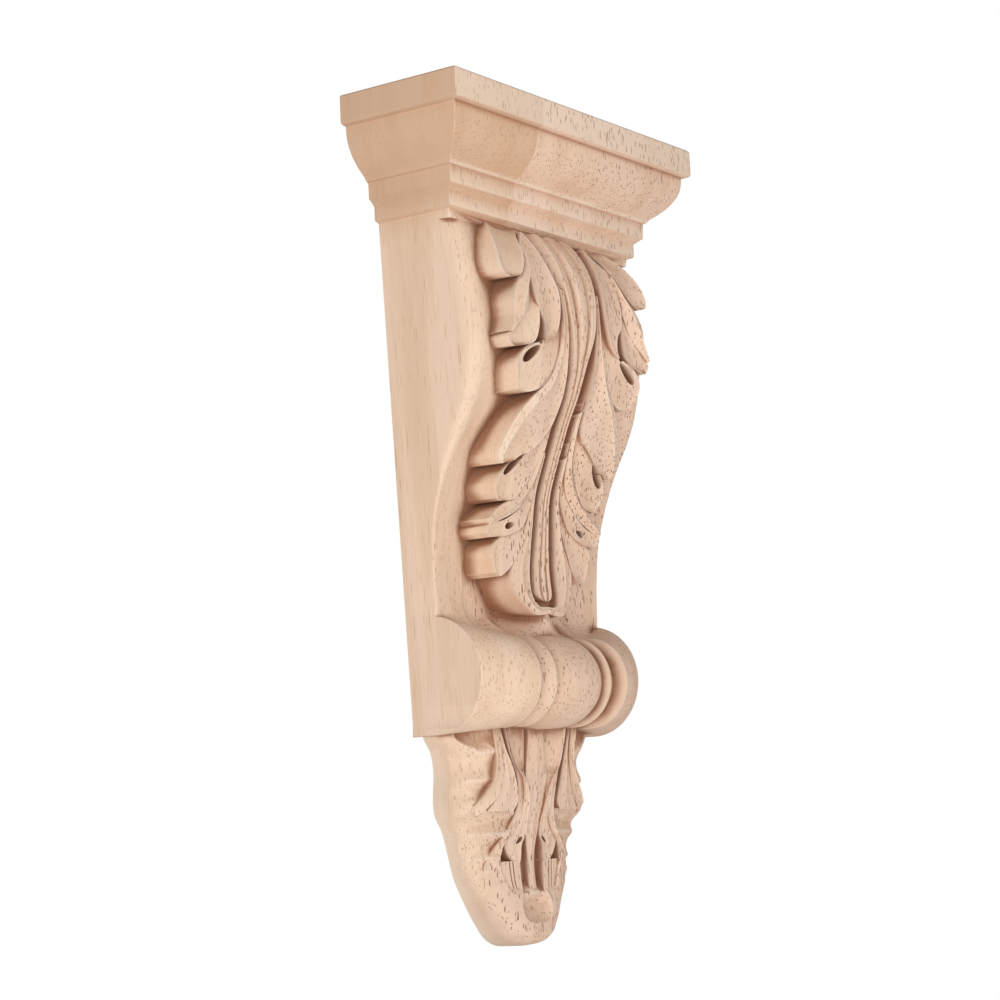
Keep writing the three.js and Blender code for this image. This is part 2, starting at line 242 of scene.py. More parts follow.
@dataclass(frozen=True)
class Cap:
    """The moulded cap, as levels of drop and inset, which is how far each stands in from the cap's edge."""

    half_width: float = 76.5
    depth: float = 50.5
    fascia: tuple[Pair, ...] = ((0, 0.6), (0.6, 0), (10, 0), (10.6, 0.6), (11, 2.8))
    ovolo: tuple[Pair, Pair] = ((11, 2.8), (27.6, 12.4))
    ovolo_fullness: float = 2.4
    ovolo_steps: int = 16
    fillets: tuple[Pair, ...] = ((28.9, 13.2), (29.2, 14.2), (35.1, 14.4), (35.4, 15), (37.1, 16.9),
                                 (37.4, 17.2), (42.3, 17.2), (42.6, 17.8), (43.1, 19.3), (46, 19.7))
    arris: float = 0.5

    def levels(self) -> Iterator[Pair]:
        """Yields the cap's levels from the top down, as drop and inset."""
        yield from self.fascia
        (top, inset), (foot, foot_inset) = self.ovolo
        for step in range(1, self.ovolo_steps + 1):
            share = step / self.ovolo_steps
            yield mix(top, foot, share), mix(inset, foot_inset, share ** self.ovolo_fullness)
        yield from self.fillets

    def spread(self, verts: list[Vert], drop: float, inset: float) -> None:
        """Moves the four corners of a level to their places.

        Args:
            verts: The level's corners.
            drop: How far down the level is.
            inset: How far in from the cap's edge it is.
        """
        middle = sum(vert.co.y for vert in verts) / len(verts)
        for vert in verts:
            out = math.copysign(self.half_width - inset, vert.co.x)
            vert.co = (out, inset - self.depth if vert.co.y < middle else 0, TOP - drop)

    def build(self, bench: Workbench) -> None:
        """Lays the cap on the bench, drawn down level by level from its top face."""
        bm = bmesh.new()
        made = bmesh.ops.create_grid(bm, x_segments=1, y_segments=1, size=1)
        first, *rest = self.levels()
        self.spread(made["verts"], *first)
        faces = bm.faces[:]
        for level in rest:
            made = bmesh.ops.extrude_face_region(bm, geom=faces)["geom"]
            self.spread([item for item in made if isinstance(item, Vert)], *level)
            if faces[0].is_valid and level is not rest[0]:
                bmesh.ops.delete(bm, geom=faces, context="FACES_ONLY")
            faces = [item for item in made if isinstance(item, bmesh.types.BMFace)]
        bmesh.ops.recalc_face_normals(bm, faces=bm.faces[:])
        posts = [edge for edge in bm.edges if abs(edge.verts[0].co.z - edge.verts[1].co.z) > 0.01
                 and max(vert.co.y for vert in edge.verts) < -1]
        bmesh.ops.bevel(bm, geom=posts, offset=self.arris, segments=2, affect="EDGES", profile=0.5,
                        material=-1)
        bench.lay(bm)


@dataclass(frozen=True)
class Body:
    """The tapering body behind the leaf, its ground sunk between two side rims."""

    top: float = 40
    foot: float = 216
    taper_from: float = 46
    taper_to: float = 225.3
    half_width_top: float = 57
    half_width_foot: float = 49
    rim: Rail = Rail(((40, 29), (54, 34), (68, 36.4), (84, 39), (96, 38.6), (108, 35.6), (116, 31.6),
                      (124, 26.6), (132, 22.2), (140, 18.8), (150, 15.8), (164, 14.2), (184, 13.8),
                      (226, 13.8)))
    sink: Rail = Rail(((40, 1), (60, 2.4), (90, 4.6), (110, 8), (130, 7.4), (150, 3.6), (172, 3.4), (186, 2)))
    hollow_top: float = 160
    hollow_foot: float = 190
    hollow_half_width: float = 33
    hollow_sink: float = 1.5
    hollow_ends: Pair = (10, 6)
    hollow_wall: float = 2
    saddle_top: float = 174
    saddle_face: float = 25.6
    saddle_width: Pair = (5, 19)
    saddle_length: float = 17
    saddle_start: float = 3
    soft_corner: Pair = (8, 7)
    crisp_corner: Pair = (1.6, 1.2)
    soft_until: float = 96
    crisp_from: float = 146
    columns: int = 78
    rows: int = 112
    edge_packing: float = 0.8

    def half_width(self, drop: float) -> float:
        """Returns how far the flat sides stand from the middle at a drop."""
        share = (drop - self.taper_from) / (self.taper_to - self.taper_from)
        return mix(self.half_width_top, self.half_width_foot, share)

    def ground(self, out: float, drop: float) -> float:
        """Returns the face of the ground, without its corners."""
        share = min(1.0, abs(out) / self.half_width(drop))
        head, foot = self.hollow_ends
        shown = ease((drop - self.hollow_top) / head) * ease((self.hollow_foot - drop) / foot)
        hollow = self.hollow_sink * shown * ease((self.hollow_half_width - abs(out)) / self.hollow_wall)
        return self.rim.at(drop) - self.sink.at(drop) * (1 - share * share) - hollow

    def saddle(self, out: float, drop: float, face: float) -> float:
        """Spreads the foot of the leaf out over the top of the scroll.

        Args:
            out: Sideways from the middle.
            drop: Down from the top.
            face: The face that the saddle rises from.

        Returns:
            The face with the saddle on it.
        """
        along = clamp((drop - self.saddle_top) / self.saddle_length)
        width = mix(*self.saddle_width, along * along)
        share = ease(self.saddle_start * along) * math.exp(-(out / width) ** 2)
        return mix(face, max(face, self.saddle_face), share)

    def corner(self, out: float, drop: float) -> float:
        """Returns how far the front corner is rounded back."""
        crisp = ease((drop - self.soft_until) / (self.crisp_from - self.soft_until))
        across = mix(self.soft_corner[0], self.crisp_corner[0], crisp)
        back = mix(self.soft_corner[1], self.crisp_corner[1], crisp)
        into = clamp((across - self.half_width(drop) + abs(out)) / across)
        return back * (1 - math.sqrt(1 - into * into))

    def build(self, bench: Workbench, scroll: "Scroll") -> None:
        """Lays the body on the bench, filled softly into the top of the scroll."""
        def place(across: float, along: float) -> Point:
            drop = mix(self.top, self.foot, along)
            turn = 2 * across - 1
            packed = turn * (1 + self.edge_packing * (1 - turn * turn) / 2)
            out = self.half_width(drop) * packed
            face = self.ground(out, drop) - self.corner(out, drop)
            return out, self.saddle(out, drop, scroll.fill(out, drop, face)), drop

        bench.lay(push_back(sheet(self.columns, self.rows, place), lambda co: 0))


@dataclass(frozen=True)
class Scroll:
    """The scroll across the foot of the body: a drum, two rings and two flaring ends."""

    drop: float = 206.6
    edge_out: float = 27
    edge_radius: float = 16.6
    edge_axis: float = 23.8
    end_drop: float = 204.6
    end_radius: float = 20.7
    end_axis: float = 10.3
    drum: Rail = Rail(((0, 16.8), (6, 16.5), (11, 15.5), (14.6, 13.8), (16.4, 13)))
    ring: Rail = Rail(((17.5, 16.2), (19, 15.2), (22, 13), (25.6, 11.6)))
    ring_out: float = 17
    ring_foot: float = 26.5
    flare_hollow: float = 1.4
    columns: int = 164
    turns: int = 46
    cove: float = 11
    end_proud: float = 0.03
    fill_side: float = 50

    def outline(self, out: float, side: float) -> Point:
        """Reads the scroll's round front.

        Args:
            out: How far from the middle.
            side: Where the flat sides stand there.

        Returns:
            The axis, the drop of the axis and the radius.
        """
        if out < self.edge_out:
            radius = self.drum.at(out) if out < self.ring_out else self.ring.at(out)
            rise = ease((out - self.ring_foot) / (self.edge_out - self.ring_foot))
            return self.edge_axis, self.drop, mix(radius, self.edge_radius, rise)
        share = clamp((out - self.edge_out) / (side - self.edge_out)) ** self.flare_hollow
        return (mix(self.edge_axis, self.end_axis, share), mix(self.drop, self.end_drop, share),
                mix(self.edge_radius, self.end_radius, share))

    def fill(self, out: float, drop: float, face: float) -> float:
        """Carries the ground of the body out on to the top of the scroll in a cove.

        Args:
            out: Sideways from the middle.
            drop: Down from the top.
            face: The ground's own face there.

        Returns:
            The filled face, which reaches the scroll's axis at its top.
        """
        axis, middle, radius = self.outline(abs(out), self.fill_side)
        share = clamp((drop - middle + radius + self.cove) / self.cove)
        return mix(face, max(face, axis), 1 - math.sqrt(1 - share * share))

    def build(self, bench: Workbench, body: Body) -> None:
        """Lays the scroll on the bench, its ends flush with the body's sides."""
        side = body.half_width(self.drop)

        def place(across: float, along: float) -> Point:
            out = side * (2 * across - 1)
            axis, middle, radius = self.outline(abs(out), side)
            turn = math.pi * along
            drop = middle - radius * math.cos(turn)
            if across in (0.0, 1.0):
                out = math.copysign(body.half_width(drop) + self.end_proud, out)
            return out, axis + radius * math.sin(turn), drop

        bench.lay(push_back(sheet(self.columns, self.turns, place), lambda co: 0))


@dataclass(frozen=True)
class Dish:
    """A crisp shallow hollow: its middle, half sizes along and across, slant in degrees and depth."""

    out: float
    drop: float
    long: float
    short: float
    slant: float
    depth: float

    def cut(self, out: float, drop: float) -> float:
        """Returns how deep the hollow is at a place."""
        turn = math.radians(self.slant)
        run, rise = out - self.out, drop - self.drop
        along = (run * math.cos(turn) + rise * math.sin(turn)) / self.long
        across = (rise * math.cos(turn) - run * math.sin(turn)) / self.short
        return self.depth * max(0.0, 1 - across * across - along ** 4)


@dataclass(frozen=True)
class Tail:
    """The part below the scroll, down to its plain rounded end."""

    top: float = 218
    foot: float = 300
    half_width: Rail = Rail(((218, 44), (226, 43.4), (230, 40.2), (237, 38.6), (249, 39.5), (253, 38.8),
                             (258, 35.4), (265, 32.8), (275, 29.4), (284, 23.8), (292, 17.6), (297, 12.4),
                             (299.4, 7), (300, 4)))
    front: Rail = Rail(((218, 18.4), (230, 18.2), (240, 18.2), (249, 17.4), (257, 15.6), (264, 14.6),
                        (275, 14.4), (284, 15.2), (292, 16.4), (297, 15.6), (299.4, 12.4), (300, 9)))
    side_share: float = 0.4
    side_power: float = 3
    dishes: tuple[Dish, ...] = (
        Dish(33, 225.4, 9, 4.6, -22, 3.2), Dish(39, 232.8, 3.4, 1.8, -20, 1),
        Dish(30, 235.8, 10.6, 5.6, -8, 2), Dish(32, 244.8, 9.4, 3.6, 10, 1.8),
        Dish(24, 255.8, 15, 4.2, 2, 2.4), Dish(25.4, 264.2, 10.6, 4.4, 4, 2),
        Dish(28, 270.8, 7.4, 2.4, 4, 1.3), Dish(22, 274.6, 6, 3.4, 0, 0.8),
        Dish(14.2, 240, 5, 2.6, 66, 3.4), Dish(15.4, 267.4, 4, 4.4, 0, 3),
        Dish(5, 272.6, 11, 3.2, 90, 2.6))
    panel: Rail = Rail(((218, 25), (232, 22.4), (240, 23), (248, 24), (251.6, 14), (256, 12), (262, 16),
                        (268, 19.4), (276, 17), (282, 14)))
    panel_wall: float = 2
    panel_sink: float = 2.8
    panel_foot: Pair = (276, 282)
    pocket: Dish = Dish(0, 286.8, 9, 5.4, 0, 3.2)
    columns: int = 114
    rows: int = 114
    foot_packing: float = 0.9
    side_packing: float = 2 / 3

    def face(self, out: float, drop: float) -> float:
        """Returns how far the plain block stands out at a place."""
        share = min(1.0, abs(out) / self.half_width.at(drop))
        return self.front.at(drop) * mix(self.side_share, 1, math.sqrt(1 - share ** self.side_power))

    def cut(self, out: float, drop: float) -> float:
        """Returns how deep the panel round the leaf, the dishes and the pocket are at a place."""
        inside = ease((self.panel.at(drop) - abs(out)) / self.panel_wall)
        start, stop = self.panel_foot
        sunk = self.panel_sink * inside * ease((stop - drop) / (stop - start))
        return sunk + sum(dish.cut(abs(out), drop) for dish in (*self.dishes, self.pocket))

    def build(self, bench: Workbench) -> None:
        """Lays the tail on the bench."""
        def place(across: float, along: float) -> Point:
            drop = mix(self.top, self.foot, along * (1 + self.foot_packing * (1 - along)))
            turn = math.pi * across
            share = math.copysign(abs(math.cos(turn)) ** self.side_packing, math.cos(turn))
            out = -share * self.half_width.at(drop)
            return out, self.face(out, drop) - self.cut(out, drop), drop

        bench.lay(push_back(sheet(self.columns, self.rows, place), lambda co: 0))


def on_edge(edge: Edge, share: float) -> Pair:
    """Reads the smooth curve through the places of an edge.

    Args:
        edge: The places, as out and drop.
        share: The share of the way along it.

    Returns:
        The place there.
    """
    row = min(len(edge) - 2, int(share * (len(edge) - 1)))
    near = share * (len(edge) - 1) - row
    before, start, stop, after = (edge[max(0, min(len(edge) - 1, row + step))] for step in (-1, 0, 1, 2))
    place = []
    for one, two, three, four in zip(before, start, stop, after):
        leave, arrive = (three - one) / 2, (four - two) / 2
        bend = 3 * (three - two) - 2 * leave - arrive
        place.append(two + near * (leave + near * (bend + near * (leave + arrive - 2 * (three - two)))))
    return place[0], place[1]


@dataclass(frozen=True)
class Lobe:
    """One lobe of a leaf, on the half to the viewer's left, ruled between its two edges.

    Its profile is read from the outer edge to the inner one, as shares and rises with a straight facet
    between each two, and each facet is then hollowed by the sag. The lift is how far the lobe stands off
    the leaf's own face at its root and from halfway along it.
    """

    outer: Edge
    inner: Edge
    lift: Pair = (-1, 0)
    profile: Edge = ((0, 0), (1, 0))
    sag: float = 0.6
    full_width: float = 5
    steps: int = 44
    columns: int = 12
    layers: tuple[float, ...] = (0.1, 0.35, 1.0)

    def rise(self, across: float) -> float:
        """Returns the profile's rise a share of the way across."""
        row = 0
        while row < len(self.profile) - 2 and across > self.profile[row + 1][0]:
            row += 1
        (start, low), (stop, high) = self.profile[row], self.profile[row + 1]
        share = (across - start) / (stop - start)
        return mix(low, high, share) - 4 * self.sag * share * (1 - share) * (stop - start)

    def block(self, face: Face, depth: float, side: int) -> Block:
        """Makes the lobe as a closed block walled straight back.

        Args:
            face: The leaf's own face at an out and a drop.
            depth: How far back the walls run.
            side: -1 for the half to the viewer's left and 1 for the other.

        Returns:
            The block.
        """
        def place(across: float, along: float) -> Point:
            one, other = on_edge(self.outer, along), on_edge(self.inner, along)
            out, drop = mix(one[0], other[0], across), mix(one[1], other[1], across)
            fade = min(1.0, math.dist(one, other) / self.full_width)
            lift = mix(*self.lift, ease(2 * along))
            return side * out, face(out, drop) + lift + self.rise(across) * fade, drop

        def back(co: Vector) -> float:
            return face(abs(co.x), TOP - co.z) - depth

        return push_back(sheet(self.columns, self.steps, place), back, self.layers)


@dataclass(frozen=True)
class Eye:
    """A dark leaf-shaped hole between lobes: where it starts and ends, and its width."""

    start: Pair
    end: Pair
    width: float
    floor: float
    turns: int = 28
    fullness: float = 0.45
    layers: tuple[float, ...] = tuple(step / 14 for step in range(1, 15))

    def block(self, front: float, side: int) -> Block:
        """Makes the hole as a block to cut away.

        Args:
            front: The face that it starts from.
            side: -1 for the half to the viewer's left and 1 for the other.

        Returns:
            The block.
        """
        run, fall = self.end[0] - self.start[0], self.end[1] - self.start[1]
        length = math.hypot(run, fall)
        bm = bmesh.new()
        bmesh.ops.create_circle(bm, cap_ends=True, radius=1, segments=self.turns)
        for vert in bm.verts:
            share = (1 - vert.co.x) / 2
            wide = vert.co.y * self.width / 2 * mix(1 - self.fullness, 1, share)
            out = self.start[0] + run * share - fall / length * wide
            drop = self.start[1] + fall * share + run / length * wide
            vert.co = (side * out, -front, TOP - drop)
        return push_back(bm, lambda co: self.floor, self.layers)


class Leaf:
    """What both leaves share: a midrib, lobes on each side of it and eyes between the lobes."""

    def lay_parts(self, bench: Workbench, face: Face) -> None:
        """Lays the midrib and the lobes on the bench, and the eyes to cut."""
        other_edge = tuple((-out, drop) for out, drop in self.midrib)
        midrib = Lobe(self.midrib, other_edge, self.midrib_lift, self.midrib_profile, self.midrib_sag,
                      self.midrib_full_width, self.midrib_steps, self.midrib_columns)
        bench.lay(midrib.block(face, self.depth, 1))
        for side in (-1, 1):
            for lobe in self.lobes:
                bench.lay(lobe.block(face, self.depth, side))
            for eye in self.eyes:
                bench.lay(eye.block(self.eye_front, side), Work.CUT)


@dataclass(frozen=True)
class UpperLeaf(Leaf):
    """The acanthus leaf on the body."""

    front: Rail = Rail(((44, 33), (48, 37), (53, 40.4), (60, 43.6), (66, 45.2), (77, 46.4), (88, 46.4),
                        (98, 45.2), (106, 42.8), (113, 39.6), (121, 36.4), (130, 32.8), (139, 29.4),
                        (151, 26.8), (158, 25.2), (166, 24), (176, 24.2), (186, 26.5)))
    crown: Rail = Rail(((45, 0), (60, 1), (80, 0.8), (95, -1), (105, -1.8), (145, -1.6), (160, 0),
                        (175, 0.6)))
    crown_width: float = 17
    depth: float = 18
    bed_top: float = 45
    bed_foot: float = 182
    bed_sink: Rail = Rail(((45, 4.8), (92, 5.6), (104, 6.6), (166, 6.6), (174, 3.6), (180, 1.8), (182, 1.6)))
    bed: Rail = Rail(((45, 36), (62, 33), (78, 25), (100, 24), (124, 20), (142, 20), (158, 18), (170, 13),
                      (178, 9), (182, 4)))
    bed_columns: int = 24
    bed_rows: int = 60
    midrib: Edge = ((12.5, 45), (12.4, 58), (11, 70), (8.4, 82), (4.4, 94), (3, 106), (2.6, 118), (2.5, 130),
                    (2.6, 142), (3.2, 154), (4.4, 165), (5.2, 173), (4.4, 176), (2.4, 177.2), (0.2, 177.6))
    midrib_profile: Edge = ((0, -2.4), (0.09375, 0.6), (0.21875, 0.4), (0.3125, -1.3), (0.40625, 0.7),
                            (0.5, 0.9), (0.59375, 0.7), (0.6875, -1.3), (0.78125, 0.4), (0.90625, 0.6),
                            (1, -2.4))
    midrib_lift: Pair = (0, 0)
    midrib_full_width: float = 18
    midrib_sag: float = 0.6
    midrib_steps: int = 90
    midrib_columns: int = 52
    lobes: tuple[Lobe, ...] = (
        Lobe(((37, 44.6), (42, 49), (45.4, 55.4), (46.9, 61.6), (45.9, 65.8), (42.4, 67.3)),
             ((20, 45), (26.6, 50), (29.4, 56.4), (32.4, 62), (36, 65.8), (41.6, 67.3)),
             (-1.2, 0.4), ((0, 0), (1, 0.2)), 1.8),
        Lobe(((29, 55), (31.6, 61.4), (37.6, 68.4), (41.3, 74.6), (41.9, 81), (44.6, 87)),
             ((27, 58), (28.4, 66), (30.6, 72.4), (32.6, 77.4), (37, 81.9), (43.8, 87.4)),
             (-0.4, 0.6), ((0, -0.6), (0.5, 1.2), (1, -1.4)), 0.3),
        Lobe(((28, 58), (30.4, 71), (34, 78.6), (43, 86.2), (45.2, 89), (42.8, 91.8)),
             ((24.4, 58), (24.6, 68), (26.6, 76.6), (27.8, 84.2), (31.4, 89.6), (42, 92)),
             (-1, 0), ((0, -0.6), (1, 0.3)), 1),
        Lobe(((28, 54), (28.4, 66), (26.8, 75.6), (23.2, 80.6), (22.6, 85.4), (24, 88.2)),
             ((20, 46), (16.4, 62), (14.8, 70), (15.8, 79), (18.4, 84.8), (23.2, 88.2)),
             (-0.6, 0.3), ((0, 0), (1, 1)), 0.9),
        Lobe(((15.6, 66), (17, 80), (24, 87.6), (34.2, 91), (39.3, 97), (36.6, 104.4)),
             ((11, 72), (12, 84), (15.4, 95), (21, 103), (28.6, 106.2), (35.2, 106)),
             (-1.6, -0.2), ((0, 0), (1, -0.4)), 0.7),
        Lobe(((13, 66), (11.8, 79), (13.8, 91), (18.8, 100.8), (26.8, 108.2), (33.4, 117), (37, 127),
              (34.4, 130.9)),
             ((10.4, 68), (9.6, 82), (9.2, 94), (8.4, 106), (9.6, 115.4), (15.4, 122), (24.4, 128),
              (33.6, 131)),
             (-0.6, 0.1), ((0, -0.3), (0.1875, 1), (0.3125, 0.2), (1, 0.9)), 0.9),
        Lobe(((10, 104), (12, 118), (20, 125.6), (29.6, 130.6), (33.6, 137.4), (31, 142.6)),
             ((8.2, 106), (9.4, 120), (12.4, 130.4), (17, 137.6), (22, 142.2), (29.4, 143.4)),
             (-1.2, -0.2), ((0, 0), (1, 0.4)), 0.8),
        Lobe(((8.8, 108), (10, 123), (13.4, 133), (20, 140.4), (29, 145), (35.4, 150)),
             ((7.4, 110), (7.8, 125), (9.6, 134.6), (14, 141.4), (20.6, 146.8), (34.2, 152.2)),
             (-0.6, 0.2), ((0, -0.4), (0.5, 1), (1, -0.4)), 0.3),
        Lobe(((8.4, 118), (9.6, 133), (15, 143), (25, 149.4), (34.4, 151.8), (35, 155)),
             ((7.2, 120), (8, 136), (11.4, 146), (15.4, 151.6), (23, 155), (32.6, 156.3)),
             (-1.2, -0.2), ((0, 0), (1, 0.5)), 0.5),
        Lobe(((8.6, 126), (10.4, 143), (16, 151), (26, 155), (30.4, 160), (28, 168.4)),
             ((7.2, 128), (8.2, 146), (11.2, 153.4), (15.4, 160), (19.4, 165.6), (25.4, 169.6)),
             (-1.2, -0.2), ((0, 0), (1, 0.5)), 0.7),
        Lobe(((7.8, 124), (8.8, 141), (12.4, 152.6), (17.2, 161), (19, 168.4), (16.4, 175.4), (11.4, 181),
              (7.6, 182.8), (3.6, 182.6), (-0.4, 182)),
             ((6.4, 126), (6.8, 143), (7.8, 155), (8.4, 163), (8.8, 169.6), (8.6, 174.6), (7.2, 178),
              (5, 179.6), (2.4, 179.8), (-0.4, 179.6)),
             (-0.6, 0.2), ((0, -0.2), (0.5, 0.7), (1, 0.2)), 0.5, steps=76),
    )
    eyes: tuple[Eye, ...] = (
        Eye((25.4, 89.8), (35.9, 96.2), 4.8, 32), Eye((21.8, 126.6), (30.9, 134.2), 4.4, 22),
        Eye((19.6, 150.8), (24.8, 152.2), 3, 18), Eye((27.6, 86), (25, 89), 3.4, 38))
    eye_front: float = 60

    def face(self, out: float, drop: float) -> float:
        """Returns how far the leaf stands out at a place."""
        inward = max(0.0, 1 - (out / self.crown_width) ** 2)
        return self.front.at(drop) + self.crown.at(drop) * inward

    def build(self, bench: Workbench) -> None:
        """Lays the leaf's bed on the bench, and its parts on the bed."""
        def place(across: float, along: float) -> Point:
            drop = mix(self.bed_top, self.bed_foot, along)
            return self.bed.at(drop) * (2 * across - 1), self.front.at(drop) - self.bed_sink.at(drop), drop

        def back(co: Vector) -> float:
            return self.front.at(TOP - co.z) - self.depth

        bench.lay(push_back(sheet(self.bed_columns, self.bed_rows, place), back))
        self.lay_parts(bench, self.face)


@dataclass(frozen=True)
class LowerLeaf(Leaf):
    """The smaller leaf below the scroll."""

    depth: float = 9
    midrib: Edge = ((4, 219), (4.4, 226), (5.2, 233), (6.6, 241), (6.6, 247), (4.6, 256), (2.4, 265),
                    (1.7, 272), (2.2, 282))
    midrib_profile: Edge = ((0, 0), (0.5, 0.5), (1, 0))
    midrib_lift: Pair = (-0.4, -1.2)
    midrib_sag: float = 0.3
    midrib_full_width: float = 5
    midrib_steps: int = 90
    midrib_columns: int = 24
    lobes: tuple[Lobe, ...] = (
        Lobe(((26.6, 221), (24.6, 229), (24, 234.5), (25.2, 240), (28.8, 244.8), (34, 250)),
             ((23.4, 221), (21.8, 229), (21, 235), (21.6, 241.6), (24.4, 247.6), (32, 253.4)),
             (0.4, 0.6), ((0, 0.7), (0.25, 0), (1, -0.2)), 0.3),
        Lobe(((24, 221), (22.4, 229), (21.6, 236), (22, 242), (24.6, 248), (28, 252)),
             ((22, 221), (18.8, 229.8), (16, 236), (13.8, 242.5), (12.7, 248.5), (15, 252.2)),
             (-0.4, 0.2), ((0, 0), (0.5, 0.2), (1, 0.2)), 0.7),
        Lobe(((19.6, 221), (17.9, 227), (15.4, 234), (13.2, 238), (12, 243), (11.2, 249), (12.6, 254.6),
              (16.3, 259.8), (21.3, 264.8), (24.6, 269), (26, 275)),
             ((18.6, 221), (16.6, 227.6), (13.6, 235), (10, 239.4), (8.2, 244), (8.4, 250), (9.4, 255),
              (12.6, 260), (16.6, 263.4), (18.4, 268), (19.4, 275)),
             (0.2, -0.8), ((0, 0.3), (0.5, 0), (1, 0.4)), 0.5, steps=80),
        Lobe(((9.6, 240), (8.4, 245), (8.6, 250), (9.8, 255), (12.8, 260), (16, 262.6), (14.4, 267),
              (11.2, 270.2)),
             ((8.6, 241), (6, 246), (4.8, 252), (4.3, 257), (4.4, 260.4), (6.6, 264), (7, 267.6),
              (7.6, 270.4)),
             (0.4, -0.9), ((0, 0), (0.5, 0), (1, 0.4)), 0.7, steps=64),
        Lobe(((18.6, 221), (17, 227.6), (14, 235), (10.4, 239.4), (7.8, 242.6), (6, 246.6)),
             ((5.6, 221), (5.4, 228), (6, 234.4), (6.8, 239), (6.4, 243.4), (5.6, 247)),
             (0, 0), ((0, 0.5), (0.25, -1.4), (1, -2)), 0.6),
        Lobe(((20, 269.8), (19.6, 273), (18.6, 277), (17, 280.4)),
             ((7.4, 269.8), (7.2, 273), (7, 277), (6.6, 281.2)),
             (-0.9, -0.9),
             ((0, -0.6), (0.5, 0), (0.55, -1.1), (0.6, 0), (0.65, 0), (0.7, -0.9), (0.75, 0), (1, 0)), 0,
             steps=20, columns=40),
    )
    eyes: tuple[Eye, ...] = (Eye((9.4, 263.8), (6, 261.4), 1.8, 9),)
    eye_front: float = 30


class Nodes:
    """A short hand for laying out a material's nodes."""

    def __init__(self, material: bpy.types.Material) -> None:
        """Clears the material's nodes."""
        material.use_nodes = True
        self.tree = material.node_tree
        self.tree.nodes.clear()

    def add(self, kind: str, inputs: dict[str | int, object] | None = None,
            **settings: object) -> bpy.types.Node:
        """Adds a node.

        Args:
            kind: The node's type, without its ShaderNode prefix.
            inputs: Each input's value, or the socket that feeds it.
            settings: The node's own settings.

        Returns:
            The node.
        """
        node = self.tree.nodes.new("ShaderNode" + kind)
        for name, value in settings.items():
            setattr(node, name, value)
        for name, value in (inputs or {}).items():
            if isinstance(value, Socket):
                self.tree.links.new(value, node.inputs[name])
            else:
                node.inputs[name].default_value = value
        return node

    def sum(self, kind: str, one: object, other: object = 0.0) -> Socket:
        """Returns the result of a Math node of a kind on two values."""
        return self.add("Math", {0: one, 1: other}, operation=kind).outputs[0]

    def scaled(self, one: object, other: object) -> Socket:
        """Returns one value times another."""
        return self.sum("MULTIPLY", one, other)

    def mark(self, name: str) -> Socket:
        """Returns what the mesh's own attribute of that name says."""
        return self.add("Attribute", attribute_name=name).outputs["Fac"]

    def noise(self, place: Socket, scale: float | Point, **inputs: float) -> Socket:
        """Makes a noise.

        Args:
            place: The point in millimetres.
            scale: How many times it changes in a millimetre, alike in all directions or for each axis.
            inputs: The texture's other inputs.

        Returns:
            The noise, about 0.5 on the whole.
        """
        if isinstance(scale, tuple):
            place = self.add("Mapping", {"Vector": place, "Scale": scale}).outputs[0]
            scale = 1.0
        return self.add("TexNoise", {"Vector": place, "Scale": scale, **inputs}).outputs["Fac"]

    def ramp(self, value: object, start: Pair, stop: Pair) -> Socket:
        """Returns a straight ramp of a value from one input and output to the other, held beyond them."""
        return self.add("MapRange", {"Value": value, "From Min": start[0], "To Min": start[1],
                                     "From Max": stop[0], "To Max": stop[1]}).outputs["Result"]

    def step(self, value: object, low: float, high: float) -> Socket:
        """Returns 0 below low and 1 above high, eased between, or the reverse where low is larger."""
        node = self.add("MapRange", {"Value": value, "From Min": low, "From Max": high},
                        interpolation_type="SMOOTHSTEP")
        return node.outputs["Result"]

    def blend(self, share: object, one: object, other: object) -> Socket:
        """Returns two colours mixed by a share."""
        node = self.add("Mix", data_type="RGBA", blend_type="MIX")
        for name, kind, value in (("Factor", "VALUE", share), ("A", "RGBA", one), ("B", "RGBA", other)):
            socket = next(s for s in node.inputs if s.name == name and s.type == kind)
            if isinstance(value, Socket):
                self.tree.links.new(value, socket)
            else:
                socket.default_value = value
        return next(s for s in node.outputs if s.type == "RGBA")


def tone(red: int, green: int, blue: int) -> tuple[float, float, float, float]:
    """Returns a screen colour, given from 0 to 255, as the light it stands for."""
    shares = (part / 255 for part in (red, green, blue))
    return *(share / 12.92 if share <= 0.04045 else ((share + 0.055) / 1.055) ** 2.4 for share in shares), 1.0


@dataclass(frozen=True)
class Pores:
    """One size of the wood's open pores, which run down the grain. Sizes are millimetres."""

    across: float
    along: float
    radius: float
    seed: float
    soft: float = 0.04
    least_chance: float = 0.25

    def mask(self, nodes: Nodes, place: Socket) -> Socket:
        """Makes the pores.

        Args:
            nodes: The material's nodes.
            place: The point in millimetres.

        Returns:
            1 inside a pore and 0 outside.
        """
        scale = (1 / self.across, 1 / self.across, 1 / self.along)
        stretched = nodes.add("Mapping", {"Vector": place, "Scale": scale, "Location": (self.seed, 0, 0)})
        cells = nodes.add("TexVoronoi", {"Vector": stretched.outputs[0], "Scale": 1.0})
        chance = nodes.add("SeparateColor", {0: cells.outputs["Color"]}).outputs[0]
        reach = nodes.scaled(nodes.sum("ADD", chance, self.least_chance), self.radius)
        past = nodes.sum("SUBTRACT", cells.outputs["Distance"], reach)
        return nodes.step(past, self.soft / 2, -self.soft / 2)


@dataclass(frozen=True)
class Tint:
    """A colour laid over the wood, its greatest share, and the mask values where it starts and is full."""

    colour: Colour
    share: float
    start: float
    full: float

    def lay(self, nodes: Nodes, mask: object, base: Socket) -> Socket:
        """Returns a colour with the tint laid over it."""
        return nodes.blend(nodes.scaled(nodes.step(mask, self.start, self.full), self.share), base,
                           tone(*self.colour))


